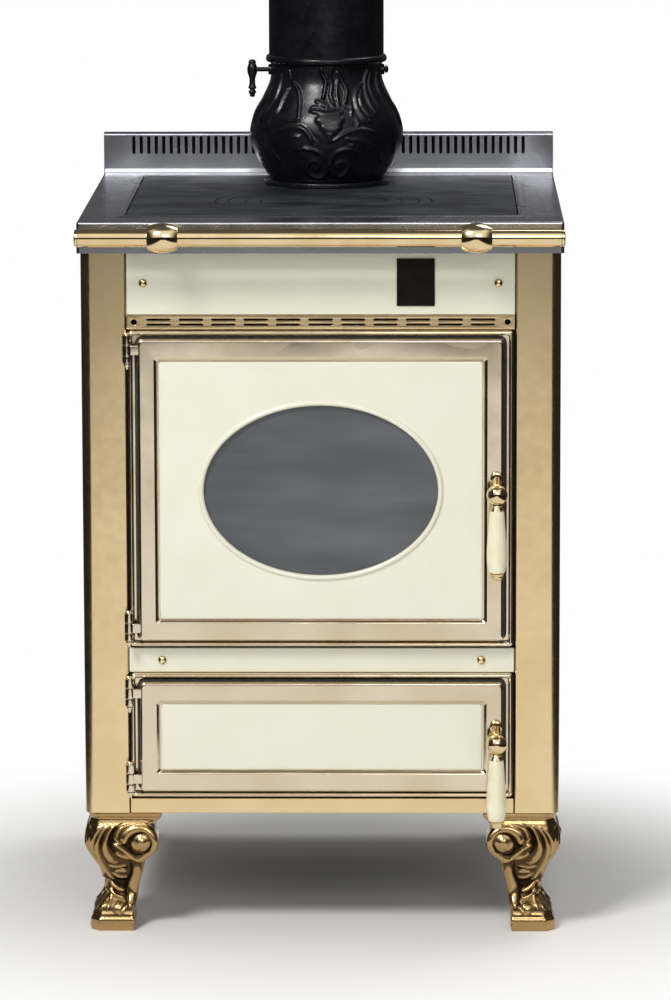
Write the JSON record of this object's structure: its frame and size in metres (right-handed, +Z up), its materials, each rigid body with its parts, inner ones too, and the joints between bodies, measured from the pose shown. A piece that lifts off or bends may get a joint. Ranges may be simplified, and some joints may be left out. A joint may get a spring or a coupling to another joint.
{
  "type": "wood cookstove",
  "caption": "Free-standing wood-fired cooking range with glazed firebox door, ash drawer, lift-out hob rings, towel rail, scrolled feet and a damped flue collar.",
  "frame": {"origin": "on the floor under the middle of the whole stove", "axes": "+Z up, +X to the right seen from the front, +Y from the doors to the back"},
  "size_m": [0.6054, 0.6784, 1.157],
  "materials": {
    "brushed_steel": "brushed",
    "cast_iron": "ground and blacked",
    "black_iron": "black stove enamel",
    "satin_brass": "satin",
    "polished_brass": "polished",
    "plated_casting": "polished",
    "cream_enamel": "gloss vitreous enamel",
    "black_enamel": "gloss",
    "porcelain": "glazed",
    "antique_gold": "antiqued",
    "boiler_steel": "matt",
    "fire_iron": "rough cast",
    "firebrick": "matt",
    "seal_rope": "braided",
    "glass": "clear"
  },
  "bodies": {
    "root": {"hob_frame": "brushed_steel", "splashback": "brushed_steel", "hob_plate": "cast_iron", "flue_collar": "black_iron", "flue_pipe": "black_iron", "corner_post_left": "satin_brass", "corner_post_right": "satin_brass", "plinth_rail": "satin_brass", "vent_strip": "satin_brass", "towel_rail": "polished_brass", "towel_rail_bracket_left": "polished_brass", "towel_rail_bracket_right": "polished_brass", "firebox_door_surround": "plated_casting", "ash_door_surround": "plated_casting", "firebox_hinge_pin_upper": "plated_casting", "firebox_hinge_pin_lower": "plated_casting", "ash_hinge_pin_upper": "plated_casting", "ash_hinge_pin_lower": "plated_casting", "upper_fascia": "cream_enamel", "middle_rail": "cream_enamel", "side_panel_left": "black_enamel", "side_panel_right": "black_enamel", "back_panel": "black_enamel", "base_panel": "black_enamel", "blank_plate": "black_enamel", "foot_front_left": "antique_gold", "foot_front_right": "antique_gold", "foot_rear_left": "antique_gold", "foot_rear_right": "antique_gold", "firebox_shell": "boiler_steel", "log_retainer": "boiler_steel", "firebox_floor": "fire_iron", "fire_grate": "fire_iron", "smoke_baffle": "fire_iron", "firebrick_left": "firebrick", "firebrick_right": "firebrick", "firebrick_back": "firebrick"},
    "firebox_door": {"firebox_door_frame": "plated_casting", "firebox_door_panel": "cream_enamel", "firebox_glass": "glass", "firebox_glass_retainer": "boiler_steel", "firebox_door_rope": "seal_rope"},
    "firebox_handle": {"firebox_handle_arm": "polished_brass", "firebox_handle_grip": "porcelain", "firebox_latch": "boiler_steel"},
    "ash_door": {"ash_door_frame": "plated_casting", "ash_door_panel": "cream_enamel", "ash_door_rope": "seal_rope"},
    "ash_handle": {"ash_handle_arm": "polished_brass", "ash_handle_grip": "porcelain", "ash_latch": "boiler_steel"},
    "ash_drawer": {"ash_pan": "boiler_steel"},
    "damper": {"damper_shaft": "black_iron", "damper_plate": "black_iron", "damper_handle": "black_iron"},
    "ring_outer": {"hob_ring_outer": "cast_iron"},
    "ring_middle": {"hob_ring_middle": "cast_iron"},
    "ring_inner": {"hob_ring_inner": "cast_iron"},
    "lid": {"hob_lid": "cast_iron"}
  },
  "joints": [
    {"name": "firebox_door_hinge", "type": "hinge", "parent": "root", "child": "firebox_door", "pos_m": [-0.239, -0.27775, 0.565], "axis": [0, 0, -1], "range_deg": [0, 120]},
    {"name": "firebox_handle_turn", "type": "hinge", "parent": "firebox_door", "child": "firebox_handle", "pos_m": [0.2175, -0.28075, 0.5814], "axis": [0, 1, 0], "range_deg": [0, 90]},
    {"name": "ash_door_hinge", "type": "hinge", "parent": "root", "child": "ash_door", "pos_m": [-0.239, -0.27775, 0.2543], "axis": [0, 0, -1], "range_deg": [0, 120]},
    {"name": "ash_handle_turn", "type": "hinge", "parent": "ash_door", "child": "ash_handle", "pos_m": [0.2175, -0.28075, 0.268], "axis": [0, 1, 0], "range_deg": [0, 90]},
    {"name": "ash_pan_slide", "type": "slide", "parent": "root", "child": "ash_drawer", "axis": [0, -1, 0], "range_m": [0, 0.25]},
    {"name": "damper_turn", "type": "hinge", "parent": "root", "child": "damper", "pos_m": [0, 0.18425, 1.049], "axis": [1, 0, 0], "range_deg": [0, 90]},
    {"name": "ring_outer_lift", "type": "slide", "parent": "root", "child": "ring_outer", "axis": [0, 0, 1], "range_m": [0, 0.018]},
    {"name": "ring_middle_lift", "type": "slide", "parent": "ring_outer", "child": "ring_middle", "axis": [0, 0, 1], "range_m": [0, 0.03]},
    {"name": "ring_inner_lift", "type": "slide", "parent": "ring_middle", "child": "ring_inner", "axis": [0, 0, 1], "range_m": [0, 0.1]},
    {"name": "lid_lift", "type": "slide", "parent": "ring_inner", "child": "lid", "axis": [0, 0, 1], "range_m": [0, 0.1]}
  ],
  "couplings": [
    {"joint": "ash_pan_slide", "follows": "ash_door_hinge", "m_per_rad": 0.119}
  ]
}
